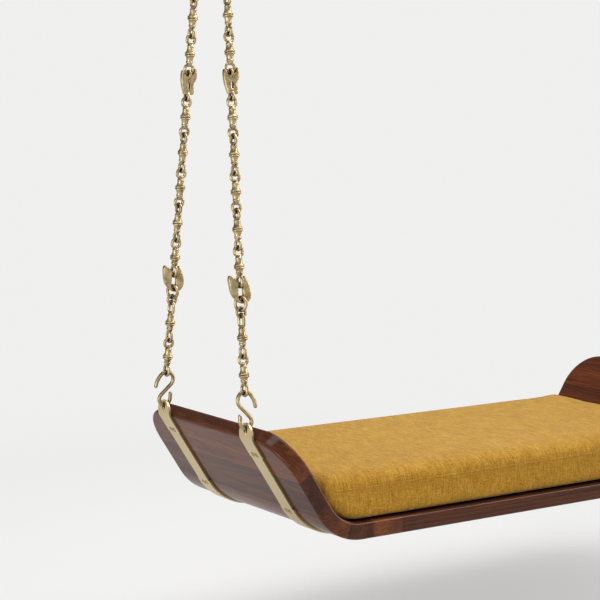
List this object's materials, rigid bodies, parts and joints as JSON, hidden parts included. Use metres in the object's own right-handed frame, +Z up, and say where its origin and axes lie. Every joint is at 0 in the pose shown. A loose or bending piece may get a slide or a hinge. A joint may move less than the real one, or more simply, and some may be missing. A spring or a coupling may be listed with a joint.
{
  "type": "jhoola swing",
  "caption": "Ceiling-hung swing bench: a bowed plank seat with upturned ends, strap bars, cast bird-and-baluster chains and a box cushion.",
  "frame": {"origin": "under the middle of the bench, level with the undersides of the strap screws, its lowest points", "axes": "+X along the bench, +Y from its front to its back, +Z up"},
  "size_m": [1.5206, 0.61, 1.9524],
  "materials": {
    "rosewood": "satin",
    "strap_brass": "satin",
    "screw_brass": "satin",
    "chain_brass": "satin",
    "fitting_brass": "satin",
    "cover_cloth": "matte",
    "foam": "matte"
  },
  "bodies": {
    "ceiling": {"left_ceiling_plate": "fitting_brass", "left_swing_pin": "fitting_brass", "left_pin_nut": "fitting_brass", "right_ceiling_plate": "fitting_brass", "right_swing_pin": "fitting_brass", "right_pin_nut": "fitting_brass"},
    "left_hanger_body": {"left_hanger": "fitting_brass"},
    "right_hanger_body": {"right_hanger": "fitting_brass"},
    "left_chains": {"left_master_ring": "chain_brass", "left_front_s_hook": "chain_brass", "left_front_lower_links": "chain_brass", "left_front_rings": "chain_brass", "left_front_hook_bird": "chain_brass", "left_front_middle_links": "chain_brass", "left_front_neck_birds": "chain_brass", "left_front_upper_links": "chain_brass", "left_front_top_links": "chain_brass", "left_rear_s_hook": "chain_brass", "left_rear_lower_links": "chain_brass", "left_rear_rings": "chain_brass", "left_rear_hook_bird": "chain_brass", "left_rear_middle_links": "chain_brass", "left_rear_neck_birds": "chain_brass", "left_rear_upper_links": "chain_brass", "left_rear_top_links": "chain_brass"},
    "right_chains": {"right_master_ring": "chain_brass", "right_front_s_hook": "chain_brass", "right_front_lower_links": "chain_brass", "right_front_rings": "chain_brass", "right_front_hook_bird": "chain_brass", "right_front_middle_links": "chain_brass", "right_front_neck_birds": "chain_brass", "right_front_upper_links": "chain_brass", "right_front_top_links": "chain_brass", "right_rear_s_hook": "chain_brass", "right_rear_lower_links": "chain_brass", "right_rear_rings": "chain_brass", "right_rear_hook_bird": "chain_brass", "right_rear_middle_links": "chain_brass", "right_rear_neck_birds": "chain_brass", "right_rear_upper_links": "chain_brass", "right_rear_top_links": "chain_brass"},
    "bench": {"deck_planks": "rosewood", "joint_splines": "rosewood", "left_joint_stave": "rosewood", "left_end_staves": "rosewood", "left_front_strap": "strap_brass", "left_rear_strap": "strap_brass", "left_strap_screws": "screw_brass", "right_joint_stave": "rosewood", "right_end_staves": "rosewood", "right_front_strap": "strap_brass", "right_rear_strap": "strap_brass", "right_strap_screws": "screw_brass"},
    "cushion": {"cushion_foam": "foam", "cushion_cover": "cover_cloth"}
  },
  "joints": [
    {"name": "left_swing", "type": "hinge", "parent": "ceiling", "child": "left_hanger_body", "pos_m": [-0.69, 0, 1.91041], "axis": [1, 0, 0], "range_deg": [-30, 30]},
    {"name": "left_sway", "type": "hinge", "parent": "left_hanger_body", "child": "left_chains", "pos_m": [-0.69, 0, 1.86585], "axis": [0, 1, 0], "range_deg": [-8, 8]},
    {"name": "bench_level", "type": "hinge", "parent": "left_chains", "child": "bench", "pos_m": [-0.73073, 0, 0.2742], "axis": [0, 1, 0], "range_deg": [-8, 8]},
    {"name": "cushion_lift", "type": "slide", "parent": "bench", "child": "cushion", "axis": [0, 0, 1], "range_m": [0, 0.25]},
    {"name": "right_swing", "type": "hinge", "parent": "ceiling", "child": "right_hanger_body", "pos_m": [0.69, 0, 1.91041], "axis": [1, 0, 0], "range_deg": [-30, 30]},
    {"name": "right_sway", "type": "hinge", "parent": "right_hanger_body", "child": "right_chains", "pos_m": [0.69, 0, 1.86585], "axis": [0, 1, 0], "range_deg": [-8, 8]}
  ],
  "couplings": [
    {"joint": "bench_level", "follows": "left_sway", "ratio": -0.94427},
    {"joint": "right_swing", "follows": "left_swing", "ratio": 1},
    {"joint": "right_sway", "follows": "left_sway", "ratio": 1}
  ]
}
